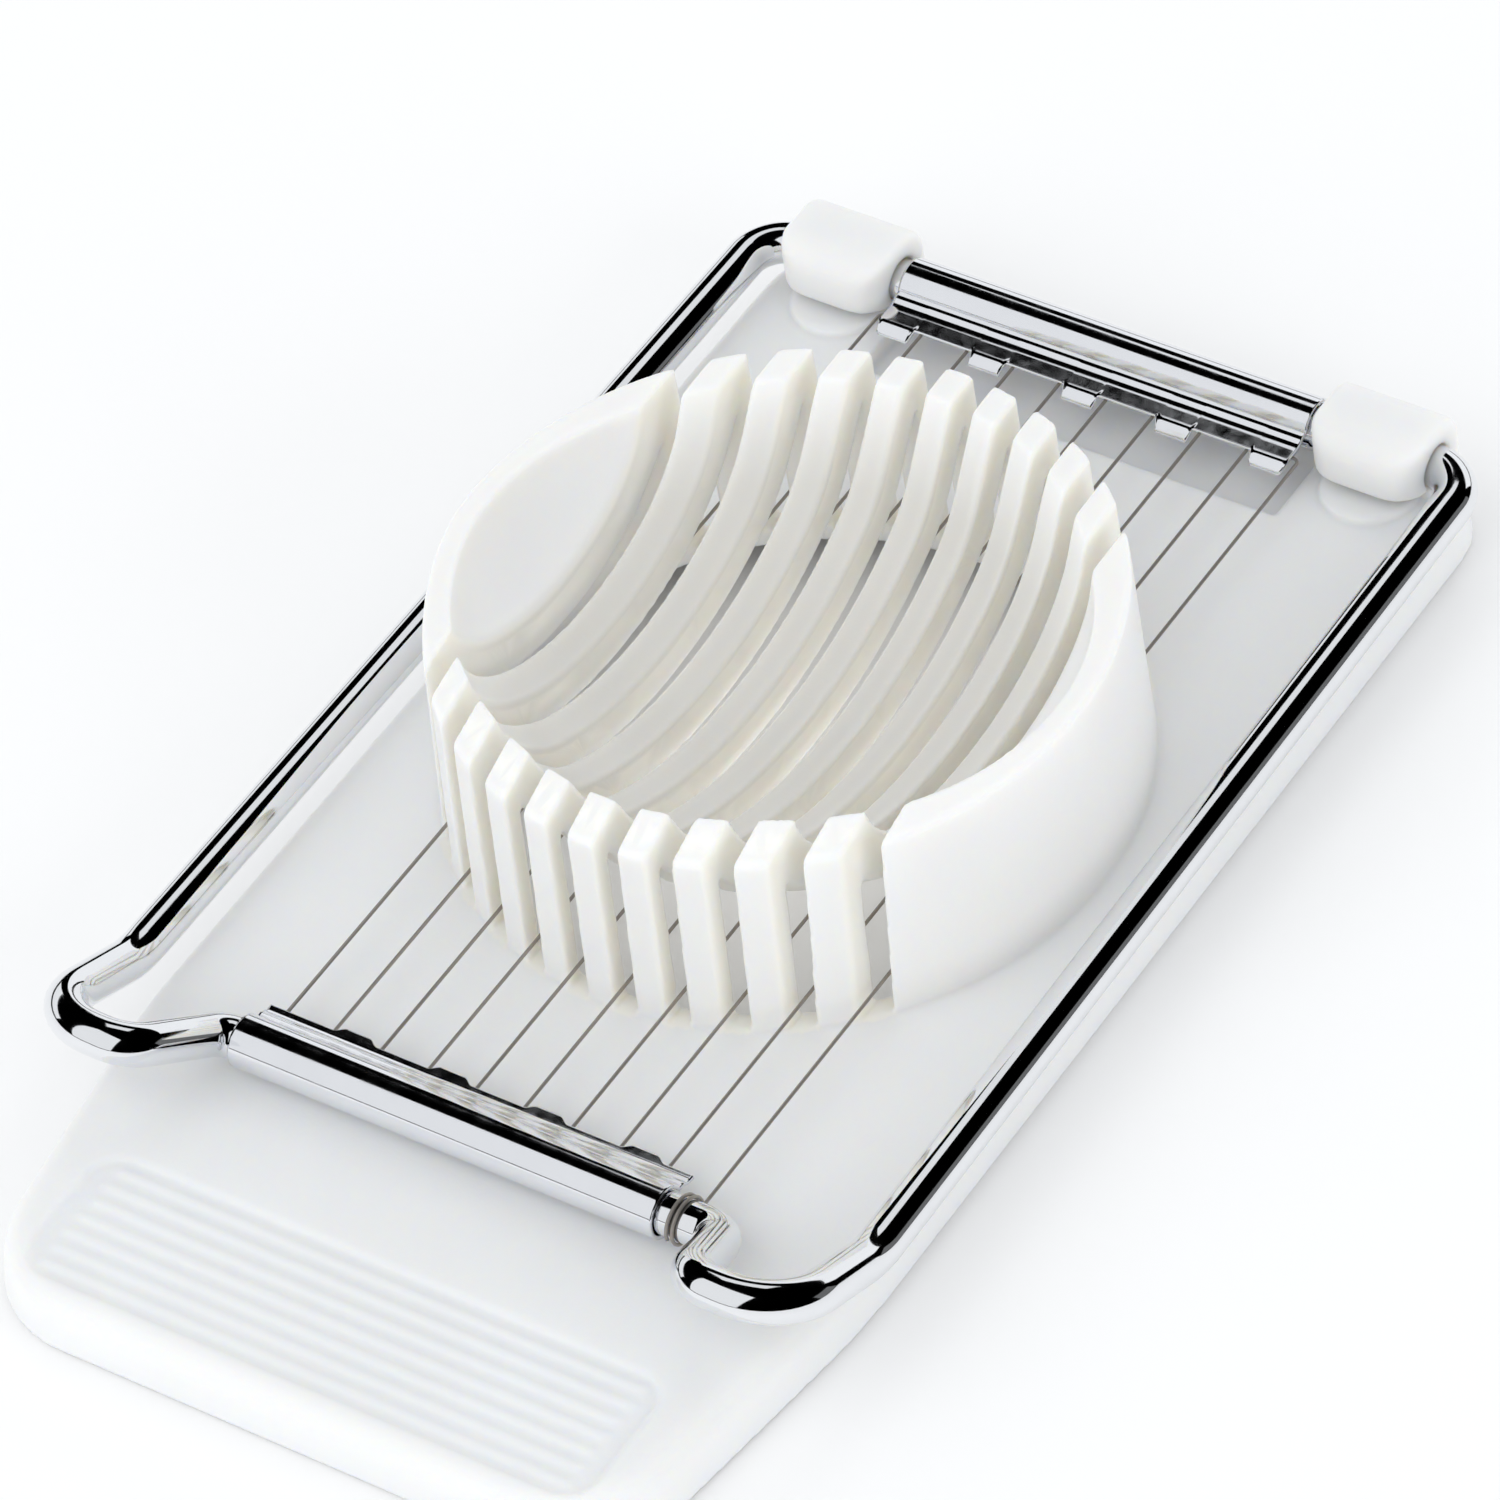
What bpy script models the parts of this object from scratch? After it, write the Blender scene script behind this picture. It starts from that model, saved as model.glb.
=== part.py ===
"""Egg slicer: a moulded base with a slotted egg cradle, and a hinged wire frame that closes over it.

Axes: +X is the width (to the right, seen from the grip), +Y runs from the grip to the hinge and +Z is up.
The origin is at the middle of the base, on the table. Sizes are in metres.
"""
import bmesh
import bpy
from math import asin, cos, pi, radians, sin, sqrt, tan
from mathutils import Matrix, Vector

MM = 0.001

# Base moulding: a thin plate with a skirt all round, standing on the skirt's rim.
BASE_LENGTH = 142.5 * MM
BASE_HALF_WIDTH = 37.9 * MM
FRONT_HALF_WIDTH = 33.2 * MM
TAPER_Y = -38.0 * MM
TAPER_R = 60.0 * MM
PLATE_TOP = 5.3 * MM
WALL = 2.0 * MM
PLATE_THICKNESS = 1.8 * MM
SKIRT_DRAFT = 0.9 * MM
FRONT_CORNER_R = 11.5 * MM
REAR_CORNER_R = 7.0 * MM
PLATE_EDGE_R = 1.1 * MM

# Grip pad: a shallow recess with fine ribs at the front of the plate.
PAD_CENTRE_Y = -60.75 * MM
PAD_SIZE = (59.0 * MM, 14.4 * MM)
PAD_DEPTH = 0.6 * MM
PAD_CORNER_R = 3.0 * MM
PAD_RIBS = 7
PAD_RIB_WIDTH = 0.8 * MM

# Trough under the rear strip.
TROUGH_Y = (57.7 * MM, 68.0 * MM)
TROUGH_HALF_WIDTH = 22.3 * MM
TROUGH_FLOOR = 3.4 * MM

# Egg cradle: a round wall with a sloping rim, a bowl inside it and ten slots across it.
CRADLE_Y = 12.0 * MM
FOOT_R = 32.0 * MM
SHOULDER = (31.2 * MM, 25.2 * MM)
RIM_PEAK = (27.9 * MM, 26.5 * MM)
BOWL_KINK = (22.0 * MM, 17.3 * MM)
BOWL_BOTTOM = 11.1 * MM
EGG_ROOM = (29.4 * MM, 25.6 * MM, 15.6 * MM)
SHELL = 2.0 * MM
SLOTS = 10
PITCH = 5.0 * MM
SLOT_WIDTH = 2.1 * MM
TURN_STEPS = 64
BOWL_RINGS = 15

# Wire frame: a bent rod, a rolled strip on each end of it, and the cutting wires between the strips.
ROD_R = 2.0 * MM
WIRE_Z = 8.3 * MM
HINGE_Y = 66.75 * MM
FRONT_Y = -39.75 * MM
RAIL_X = 38.5 * MM
RAIL_REAR_X = 37.9 * MM
EAR_Y = -48.75 * MM
EAR_Z = 13.8 * MM
RAIL_BEND_Y = -36.0 * MM
STRIP_R = 2.5 * MM
STRIP_BORE_R = 2.25 * MM
STRIP_FLANGE = 0.4 * MM
WIRE_R = 0.2 * MM
GAP = 0.3 * MM
FRONT_FLANGE = 4.1 * MM
REAR_FLANGE = 4.2 * MM
WIRE_FRONT_Y = FRONT_Y + FRONT_FLANGE + GAP
WIRE_REAR_Y = HINGE_Y - REAR_FLANGE - GAP

# Hinge knuckles: hooks that hold the rear of the rod.
KNUCKLE_X = (22.8 * MM, 34.4 * MM)
KNUCKLE_BORE_R = 2.09 * MM
KNUCKLE_BACK_R = 4.3 * MM
KNUCKLE_TOP = 3.6 * MM
KNUCKLE_NOSE = 5.0 * MM

MATERIALS = {
    "white_plastic": ((0.86, 0.86, 0.84, 1.0), 0.35, 0.0),
    "chromed_rod": ((0.80, 0.81, 0.83, 1.0), 0.08, 1.0),
    "chromed_strip": ((0.78, 0.79, 0.82, 1.0), 0.12, 1.0),
    "steel_wire": ((0.55, 0.53, 0.50, 1.0), 0.3, 1.0),
}


def clear_scene():
    for old in list(bpy.data.objects):
        bpy.data.objects.remove(old, do_unlink=True)


def new_collection(name):
    made = bpy.data.collections.new(name)
    bpy.context.scene.collection.children.link(made)
    return made


def material(name):
    """Return the named Principled material, made on first use."""
    if name in bpy.data.materials:
        return bpy.data.materials[name]
    colour, roughness, metallic = MATERIALS[name]
    made = bpy.data.materials.new(name)
    made.use_nodes = True
    shader = made.node_tree.nodes["Principled BSDF"]
    shader.inputs["Base Color"].default_value = colour
    shader.inputs["Roughness"].default_value = roughness
    shader.inputs["Metallic"].default_value = metallic
    made.diffuse_color = colour
    return made


def add_object(name, data, collection, material_name=None):
    made = bpy.data.objects.new(name, data)
    collection.objects.link(made)
    if material_name:
        data.materials.clear()
        data.materials.append(material(material_name))
    return made


def mesh_from(name, bm):
    bmesh.ops.recalc_face_normals(bm, faces=bm.faces)
    mesh = bpy.data.meshes.new(name)
    bm.to_mesh(mesh)
    bm.free()
    return mesh


def evaluated_mesh(obj):
    """Return the object's mesh as its modifiers leave it."""
    graph = bpy.context.evaluated_depsgraph_get()
    return bpy.data.meshes.new_from_object(obj.evaluated_get(graph))


def settle(obj):
    """Apply the object's modifiers and drop them."""
    mesh = evaluated_mesh(obj)
    obj.modifiers.clear()
    obj.data = mesh


def boolean(target, cutter, operation):
    made = target.modifiers.new(cutter.name, "BOOLEAN")
    made.operation = operation
    made.object = cutter
    made.solver = "EXACT"
    settle(target)


def base_outline(inset):
    """The base seen from above, drawn in by inset: straight sides that narrow towards the grip."""
    half_x = BASE_HALF_WIDTH - inset
    front_x = FRONT_HALF_WIDTH - inset
    end_y = BASE_LENGTH / 2 - inset
    corners = [
        ((0, -end_y, 0), 0),
        ((front_x, -end_y, 0), FRONT_CORNER_R - inset),
        ((half_x, TAPER_Y, 0), TAPER_R),
        ((half_x, end_y, 0), REAR_CORNER_R - inset),
        ((0, end_y, 0), 0),
    ]
    right = rounded_path(corners, 8)
    return right + [Vector((-p.x, p.y, 0)) for p in reversed(right[1:-1])]


def base_block(name, low_inset, high_inset, z_range, collection, top_r=0.0):
    """A solid on the base's outline whose sides lean in, with its top edge rounded by top_r."""
    bm = bmesh.new()
    low = [bm.verts.new((p.x, p.y, z_range[0])) for p in base_outline(low_inset)]
    high = [bm.verts.new((p.x, p.y, z_range[1])) for p in base_outline(high_inset)]
    bm.faces.new(low)
    bm.faces.new(high)
    for i, start in enumerate(low):
        following = (i + 1) % len(low)
        bm.faces.new((start, low[following], high[following], high[i]))
    if top_r:
        top = [e for e in bm.edges if min(v.co.z for v in e.verts) > z_range[1] - 1e-6]
        bmesh.ops.bevel(bm, geom=top, offset=top_r, segments=3, profile=0.5, affect="EDGES")
    return add_object(name, mesh_from(name, bm), collection)


def rounded_slab(name, half_x, y_range, z_range, corner_r, collection):
    """A block with rounded upright corners."""
    low_y, high_y = y_range
    low_z, high_z = z_range
    bm = bmesh.new()
    bmesh.ops.create_cube(bm, size=1.0)
    place = Matrix.Translation((0, (low_y + high_y) / 2, (low_z + high_z) / 2))
    grow = Matrix.Diagonal((2 * half_x, high_y - low_y, high_z - low_z, 1))
    bmesh.ops.transform(bm, matrix=place @ grow, verts=bm.verts)
    upright = [e for e in bm.edges if is_upright(e)]
    bmesh.ops.bevel(bm, geom=upright, offset=corner_r, segments=6, profile=0.5, affect="EDGES")
    return add_object(name, mesh_from(name, bm), collection)


def is_upright(edge):
    start, end = (v.co for v in edge.verts)
    return abs(start.x - end.x) < 1e-7 and abs(start.y - end.y) < 1e-7


def box(name, low, high, collection):
    bm = bmesh.new()
    bmesh.ops.create_cube(bm, size=1.0)
    size = Vector(high) - Vector(low)
    middle = (Vector(high) + Vector(low)) / 2
    bmesh.ops.transform(bm, matrix=Matrix.Translation(middle) @ Matrix.Diagonal((*size, 1)), verts=bm.verts)
    return add_object(name, mesh_from(name, bm), collection)


def turned(name, profile, collection, steps=TURN_STEPS):
    """Turn a profile of (radius, height) points, both ends on the axis, about the cradle's axis."""
    mesh = bpy.data.meshes.new(name)
    mesh.from_pydata([(r, 0, z) for r, z in profile], [(i, i + 1) for i in range(len(profile) - 1)], [])
    made = add_object(name, mesh, collection)
    screw = made.modifiers.new("Turn", "SCREW")
    screw.steps = steps
    screw.render_steps = steps
    screw.use_merge_vertices = True
    screw.merge_threshold = 0.00001
    settle(made)
    bm = bmesh.new()
    bm.from_mesh(made.data)
    bmesh.ops.remove_doubles(bm, verts=bm.verts, dist=1e-6)
    bmesh.ops.recalc_face_normals(bm, faces=bm.faces)
    bm.to_mesh(made.data)
    bm.free()
    made.location = (0, CRADLE_Y, 0)
    return made


def round_radius(z, grow):
    """The round bowl's radius at a height: a shallow ball below the kink, a steep wall above it."""
    kink_r, kink_z = BOWL_KINK
    rim_r, rim_z = RIM_PEAK
    sag = kink_z - BOWL_BOTTOM
    ball_r = (kink_r ** 2 + sag ** 2) / (2 * sag)
    drop = BOWL_BOTTOM + ball_r - z
    ball = sqrt(max((ball_r + grow) ** 2 - drop ** 2, 0))
    slope = (rim_r - kink_r) / (rim_z - kink_z)
    wall = kink_r + (z - kink_z) * slope + grow * sqrt(1 + slope ** 2)
    return min(ball, wall) if drop > 0 else wall


def egg_radius(z, angle, grow):
    """The egg-shaped room's radius at a height, in the direction of the angle."""
    half_x, half_y, half_z = (h + grow for h in EGG_ROOM)
    depth = min((BOWL_BOTTOM + EGG_ROOM[2] - z) / half_z, 1)
    share = sqrt(1 - max(depth, 0) ** 2)
    return share / sqrt((cos(angle) / half_x) ** 2 + (sin(angle) / half_y) ** 2)


def bowl(name, grow, top, collection):
    """The bowl as a solid: round, with an egg-shaped room let into it along X, grown by the shell."""
    bottom = BOWL_BOTTOM - grow
    bm = bmesh.new()
    rings = []
    for i in range(1, BOWL_RINGS + 1):
        z = bottom + (RIM_PEAK[1] - bottom) * (i / BOWL_RINGS) ** 1.6
        rings.append(bowl_ring(bm, z, z, grow))
    rings.append(bowl_ring(bm, RIM_PEAK[1], top, grow))
    bm.faces.new(rings[-1])
    for lower, upper in zip(rings, rings[1:]):
        for i, start in enumerate(lower):
            following = (i + 1) % TURN_STEPS
            bm.faces.new((start, lower[following], upper[following], upper[i]))
    lowest = bm.verts.new((0, CRADLE_Y, bottom))
    for i, start in enumerate(rings[0]):
        bm.faces.new((lowest, rings[0][(i + 1) % TURN_STEPS], start))
    return add_object(name, mesh_from(name, bm), collection)


def bowl_ring(bm, shape_z, z, grow):
    ring = []
    for i in range(TURN_STEPS):
        angle = 2 * pi * (i + 0.5) / TURN_STEPS
        radius = max(round_radius(shape_z, grow), egg_radius(shape_z, angle, grow))
        ring.append(bm.verts.new((radius * cos(angle), CRADLE_Y + radius * sin(angle), z)))
    return ring


def cradle_body(collection):
    """The cradle's outer form, still solid."""
    shoulder_r, shoulder_z = SHOULDER
    profile = [
        (0, RIM_PEAK[1]),
        RIM_PEAK,
        (shoulder_r - 0.5 * MM, shoulder_z + 0.2 * MM),
        (shoulder_r, shoulder_z - 0.3 * MM),
        (FOOT_R, PLATE_TOP),
        (FOOT_R, PLATE_TOP - 1 * MM),
        (0, PLATE_TOP - 1 * MM),
    ]
    return turned("cradle_body", profile, collection)


def cradle_hollow(cutters):
    """The space under the bowl, open to the table."""
    shoulder_r, shoulder_z = SHOULDER
    below = -1 * MM
    profile = [
        (0, RIM_PEAK[1] - SHELL),
        (RIM_PEAK[0] - 0.5 * MM, RIM_PEAK[1] - SHELL),
        (shoulder_r - SHELL, shoulder_z - SHELL),
        (FOOT_R - SHELL, PLATE_TOP),
        (FOOT_R - SHELL, below),
        (0, below),
    ]
    hollow = turned("cradle_hollow", profile, cutters)
    boolean(hollow, bowl("bowl_outside", SHELL, RIM_PEAK[1] + SHELL, cutters), "DIFFERENCE")
    return hollow


def plate_hollow(cutters):
    """The space under the plate, leaving the skirt and the trough's floor."""
    inner_z = (-1 * MM, PLATE_TOP - PLATE_THICKNESS)
    hollow = base_block("plate_hollow", WALL, WALL + SKIRT_DRAFT, inner_z, cutters)
    low = (-TROUGH_HALF_WIDTH - WALL, TROUGH_Y[0] - WALL, TROUGH_FLOOR - PLATE_THICKNESS)
    high = (TROUGH_HALF_WIDTH + WALL, BASE_LENGTH, PLATE_TOP)
    boolean(hollow, box("trough_floor", low, high, cutters), "DIFFERENCE")
    return hollow


def knuckle(side, cutters):
    """A hook over the rod, open to the front and below."""
    top = KNUCKLE_TOP
    back = KNUCKLE_BACK_R
    nose = -KNUCKLE_NOSE
    outline = [(back, PLATE_TOP - WIRE_Z - 1 * MM), (back, 0)]
    outline += [(back * cos(a), top * sin(a)) for a in (radians(d) for d in range(15, 91, 15))]
    outline += [(nose + 2.2 * MM - 2.2 * MM * sin(a), top - 2.4 * MM + 2.4 * MM * cos(a))
                for a in (radians(d) for d in range(15, 91, 15))]
    outline += [(nose, -0.8 * MM), (nose + 0.5 * MM, -1.5 * MM), (nose + 1.2 * MM, -1.7 * MM)]
    outline += [(-1.5 * MM, -1.7 * MM), (-1.5 * MM, PLATE_TOP - WIRE_Z - 1 * MM)]
    name = "knuckle_left" if side < 0 else "knuckle_right"
    mesh = bpy.data.meshes.new(name)
    low_x = min(side * x for x in KNUCKLE_X)
    high_x = max(side * x for x in KNUCKLE_X)
    bm = bmesh.new()
    face = bm.faces.new([bm.verts.new((low_x, HINGE_Y + y, WIRE_Z + z)) for y, z in outline])
    moved = bmesh.ops.extrude_face_region(bm, geom=[face])["geom"]
    shift = (high_x - low_x, 0, 0)
    bmesh.ops.translate(bm, vec=shift, verts=[g for g in moved if isinstance(g, bmesh.types.BMVert)])
    bmesh.ops.recalc_face_normals(bm, faces=bm.faces)
    short = [e for e in bm.edges if e.calc_length() < (high_x - low_x) / 2]
    ends = [e for e in short if e.verts[0].co.z > WIRE_Z - 1.6 * MM]
    bmesh.ops.bevel(bm, geom=ends, offset=0.6 * MM, segments=2, profile=0.5, affect="EDGES")
    bm.to_mesh(mesh)
    bm.free()
    return add_object(name, mesh, cutters)


def rod_bore(cutters):
    """The bore through both knuckles, with its mouth towards the front and below."""
    length = 2 * (KNUCKLE_X[1] + 2 * MM)
    bm = bmesh.new()
    turn = Matrix.Translation((0, HINGE_Y, WIRE_Z)) @ Matrix.Rotation(pi / 2, 4, "Y")
    bmesh.ops.create_cone(bm, cap_ends=True, segments=28, radius1=KNUCKLE_BORE_R, radius2=KNUCKLE_BORE_R,
                          depth=length, matrix=turn)
    return add_object("rod_bore", mesh_from("rod_bore", bm), cutters)


def lower_lip(side, cutters):
    """The rounded pad in front of a knuckle, under its mouth."""
    middle = side * (KNUCKLE_X[0] + KNUCKLE_X[1]) / 2
    radius = 4.6 * MM
    bm = bmesh.new()
    bmesh.ops.create_cone(bm, cap_ends=True, segments=40, radius1=radius, radius2=radius - 0.4 * MM,
                          depth=2.0 * MM)
    place = Matrix.Translation((middle, HINGE_Y - 2.6 * MM, PLATE_TOP - 0.4 * MM))
    bmesh.ops.transform(bm, matrix=place, verts=bm.verts)
    name = "lower_lip_left" if side < 0 else "lower_lip_right"
    return add_object(name, mesh_from(name, bm), cutters)


def slot_x(number):
    return (number - (SLOTS - 1) / 2) * PITCH


def slot_cutter(cutters):
    """Ten thin blocks, one for each slot, as one cutter."""
    bm = bmesh.new()
    reach = FOOT_R + 2 * MM
    for number in range(SLOTS):
        made = bmesh.ops.create_cube(bm, size=1.0)["verts"]
        middle = Vector((slot_x(number), CRADLE_Y, (PLATE_TOP + 32 * MM) / 2))
        grow = Matrix.Diagonal((SLOT_WIDTH, 2 * reach, 32 * MM - PLATE_TOP, 1))
        bmesh.ops.transform(bm, matrix=Matrix.Translation(middle) @ grow, verts=made)
    return add_object("slots", mesh_from("slots", bm), cutters)


def pad_cutter(cutters):
    """The grip pad's recess, less the ribs that stand in it."""
    half_y = PAD_SIZE[1] / 2
    pad = rounded_slab(
        "grip_pad", PAD_SIZE[0] / 2, (PAD_CENTRE_Y - half_y, PAD_CENTRE_Y + half_y),
        (PLATE_TOP - PAD_DEPTH, PLATE_TOP + 1 * MM), PAD_CORNER_R, cutters)
    pitch = PAD_SIZE[1] / (PAD_RIBS + 1)
    for number in range(PAD_RIBS):
        middle = PAD_CENTRE_Y + (number - (PAD_RIBS - 1) / 2) * pitch
        half_x = PAD_SIZE[0] / 2 - 2.0 * MM
        low = (-half_x, middle - PAD_RIB_WIDTH / 2, PLATE_TOP - PAD_DEPTH - 1 * MM)
        high = (half_x, middle + PAD_RIB_WIDTH / 2, PLATE_TOP - 0.1 * MM)
        boolean(pad, box("pad_rib_{}".format(number + 1), low, high, cutters), "DIFFERENCE")
    return pad


def base_moulding(parts, cutters):
    base = base_block("base_moulding", 0, SKIRT_DRAFT, (0, PLATE_TOP), parts, top_r=PLATE_EDGE_R)
    base.data.materials.append(material("white_plastic"))
    boolean(base, plate_hollow(cutters), "DIFFERENCE")
    boolean(base, cradle_body(cutters), "UNION")
    boolean(base, bowl("bowl", 0, RIM_PEAK[1] + 4 * MM, cutters), "DIFFERENCE")
    boolean(base, cradle_hollow(cutters), "DIFFERENCE")
    low = (-TROUGH_HALF_WIDTH, TROUGH_Y[0], TROUGH_FLOOR)
    high = (TROUGH_HALF_WIDTH, TROUGH_Y[1], PLATE_TOP + 1 * MM)
    boolean(base, box("trough", low, high, cutters), "DIFFERENCE")
    for side in (-1, 1):
        boolean(base, knuckle(side, cutters), "UNION")
        boolean(base, lower_lip(side, cutters), "UNION")
    boolean(base, rod_bore(cutters), "DIFFERENCE")
    boolean(base, pad_cutter(cutters), "DIFFERENCE")
    boolean(base, slot_cutter(cutters), "DIFFERENCE")
    return base


def rounded_path(corners, steps=6):
    """Points along a path of (point, corner radius) pairs, with each corner turned by an arc."""
    points = [Vector(corners[0][0])]
    for before, (here, radius), after in zip(corners, corners[1:], corners[2:]):
        here = Vector(here)
        back = (Vector(before[0]) - here).normalized()
        ahead = (Vector(after[0]) - here).normalized()
        half = back.angle(ahead) / 2
        centre = here + (back + ahead).normalized() * (radius / sin(half))
        start = here + back * (radius / tan(half)) - centre
        end = here + ahead * (radius / tan(half)) - centre
        turn = start.angle(end)
        for i in range(steps + 1):
            share = i / steps
            points.append(centre + (start * sin((1 - share) * turn) + end * sin(share * turn)) / sin(turn))
    points.append(Vector(corners[-1][0]))
    return points


def tube(name, points, radius, parts, material_name, resolution=2):
    """A round rod or wire along the points, with closed ends."""
    curve = bpy.data.curves.new(name, "CURVE")
    curve.dimensions = "3D"
    curve.bevel_depth = radius
    curve.bevel_resolution = resolution
    curve.use_fill_caps = True
    curve.twist_mode = "MINIMUM"
    spline = curve.splines.new("POLY")
    spline.points.add(len(points) - 1)
    for target, point in zip(spline.points, points):
        target.co = (*point, 1)
    return add_object(name, curve, parts, material_name)


def bow_rod(parts):
    """The rod: its ends meet inside the front strip, and it lifts into an ear at each front corner."""
    half = [
        ((GAP, FRONT_Y, WIRE_Z), 0),
        ((26.0 * MM, FRONT_Y, WIRE_Z), 2.6 * MM),
        ((29.0 * MM, EAR_Y, EAR_Z), 3.2 * MM),
        ((RAIL_X, EAR_Y, EAR_Z), 6.0 * MM),
        ((RAIL_X, RAIL_BEND_Y, WIRE_Z), 9.0 * MM),
        ((RAIL_REAR_X, HINGE_Y, WIRE_Z), 4.1 * MM),
        ((0, HINGE_Y, WIRE_Z), 0),
    ]
    right = rounded_path(half)
    left = [Vector((-p.x, p.y, p.z)) for p in reversed(right[:-1])]
    return tube("bow_rod", right + left, ROD_R, parts, "chromed_rod", resolution=4)


def strip(name, centre_x, centre_y, way, half_length, flange, tabs, tab_reach, parts, cutters):
    """A sheet strip rolled round the rod, its flange towards the wires and its tabs to loop them on."""
    outline = []
    start = asin(STRIP_FLANGE / STRIP_R)
    for i in range(25):
        angle = start + (2 * pi - 2 * start) * i / 24
        outline.append((STRIP_R * cos(angle), STRIP_R * sin(angle)))
    outline += [(flange, -STRIP_FLANGE), (flange, STRIP_FLANGE)]
    bm = bmesh.new()
    end_x = centre_x - half_length
    face = bm.faces.new([bm.verts.new((end_x, centre_y + way * y, WIRE_Z + z)) for y, z in outline])
    moved = bmesh.ops.extrude_face_region(bm, geom=[face])["geom"]
    far_end = [g for g in moved if isinstance(g, bmesh.types.BMVert)]
    bmesh.ops.translate(bm, vec=(2 * half_length, 0, 0), verts=far_end)
    made = add_object(name, mesh_from(name, bm), parts, "chromed_strip")
    for number, middle in enumerate(tabs):
        near = centre_y + way * (flange - 0.5 * MM)
        far = centre_y + way * (flange + tab_reach)
        half_tab = PITCH / 2 - WIRE_R - GAP
        low = (middle - half_tab, min(near, far), WIRE_Z - STRIP_FLANGE)
        high = (middle + half_tab, max(near, far), WIRE_Z + STRIP_FLANGE)
        boolean(made, box("{}_tab_{}".format(name, number + 1), low, high, cutters), "UNION")
    bm = bmesh.new()
    turn = Matrix.Translation((centre_x, centre_y, WIRE_Z)) @ Matrix.Rotation(pi / 2, 4, "Y")
    bmesh.ops.create_cone(bm, cap_ends=True, segments=24, radius1=STRIP_BORE_R, radius2=STRIP_BORE_R,
                          depth=2 * half_length + 2 * MM, matrix=turn)
    boolean(made, add_object(name + "_bore", mesh_from(name + "_bore", bm), cutters), "DIFFERENCE")
    return made


def cutting_wires(parts):
    """Ten strands from the front flange to the rear one."""
    for number in range(SLOTS):
        x = slot_x(number)
        points = [Vector((x, WIRE_FRONT_Y, WIRE_Z)), Vector((x, WIRE_REAR_Y, WIRE_Z))]
        tube("cutting_wire_{:02d}".format(number + 1), points, WIRE_R, parts, "steel_wire")


def wire_turn(name, number, end_y, way, parts):
    """The wire's turn from one strand to the next, over the flange and behind a tab."""
    z = WIRE_Z + STRIP_FLANGE + WIRE_R + GAP
    near = end_y - way * 0.6 * MM
    far = end_y + way * 1.4 * MM
    left = slot_x(number)
    right = slot_x(number + 1)
    corners = [
        ((left, near, z), 0),
        ((left, far, z), 0.8 * MM),
        ((right, far, z), 0.8 * MM),
        ((right, near, z), 0),
    ]
    return tube(name, rounded_path(corners, 4), WIRE_R, parts, "steel_wire")


def wire_end(name, number, parts):
    """The wire's left end, laid over the front flange."""
    z = WIRE_Z + STRIP_FLANGE + WIRE_R + GAP
    x = slot_x(number)
    points = [Vector((x, WIRE_FRONT_Y + 0.6 * MM, z)), Vector((x, WIRE_FRONT_Y - 1.4 * MM, z))]
    return tube(name, points, WIRE_R * 1.5, parts, "steel_wire")


def wire_wrap(name, number, parts):
    """The wire's right end, wound once round the rod beside the front strip."""
    x = slot_x(number)
    radius = ROD_R + WIRE_R + GAP
    points = [Vector((x, WIRE_FRONT_Y - GAP, WIRE_Z))]
    for i in range(17):
        angle = radians(20 + 320 * i / 16)
        shift = 1.1 * MM * i / 16
        points.append(Vector((x - shift, FRONT_Y + radius * cos(angle), WIRE_Z + radius * sin(angle))))
    return tube(name, points, WIRE_R, parts, "steel_wire")


def build():
    clear_scene()
    parts = new_collection("egg_slicer")
    cutters = new_collection("cutters")
    base_moulding(parts, cutters)
    bow_rod(parts)
    pairs = [(slot_x(n) + slot_x(n + 1)) / 2 for n in range(SLOTS - 1)]
    front = (FRONT_Y, 1, 22.1 * MM, FRONT_FLANGE, pairs[1::2], 0.9 * MM)
    rear = (HINGE_Y, -1, 21.9 * MM, REAR_FLANGE, pairs[0::2], 2.6 * MM)
    strip("front_strip", -1.9 * MM, *front, parts, cutters)
    strip("rear_strip", 0, *rear, parts, cutters)
    cutting_wires(parts)
    for number in range(0, SLOTS - 1, 2):
        wire_turn("rear_wire_turn_{}".format(number // 2 + 1), number, WIRE_REAR_Y, 1, parts)
    for number in range(1, SLOTS - 1, 2):
        wire_turn("front_wire_turn_{}".format(number // 2 + 1), number, WIRE_FRONT_Y, -1, parts)
    wire_end("wire_end_left", 0, parts)
    wire_wrap("wire_end_right", SLOTS - 1, parts)
    for cutter in cutters.objects:
        cutter.hide_render = True
        cutter.display_type = "WIRE"


build()
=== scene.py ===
"""Visual model of the egg slicer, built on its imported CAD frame.

Axes are the frame's: +X across, +Y from the grip to the hinge, +Z up. Sizes are in millimetres; a mesh is
scaled to metres as it is made.
"""

from math import cos, pi, radians, sin, sqrt, tan

import bmesh
import bpy
import numpy as np
from mathutils import Matrix, Vector


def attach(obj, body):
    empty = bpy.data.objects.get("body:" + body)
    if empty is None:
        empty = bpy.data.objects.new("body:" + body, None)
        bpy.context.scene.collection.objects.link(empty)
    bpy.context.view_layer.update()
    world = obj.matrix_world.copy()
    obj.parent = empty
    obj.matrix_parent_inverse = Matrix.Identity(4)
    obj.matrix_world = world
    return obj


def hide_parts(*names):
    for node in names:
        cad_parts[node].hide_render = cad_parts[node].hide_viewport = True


MM = 0.001

# Base moulding
BASE_LENGTH = 142.4
BASE_HALF_WIDTH = 37.85
FRONT_HALF_WIDTH = 33.2
TAPER_Y = -38.0
FRONT_CORNER_R = 11.5
REAR_CORNER_R = 7.0
PLATE_TOP = 5.3
PLATE = 1.8
WALL = 2.0
DRAFT = 0.9

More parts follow.
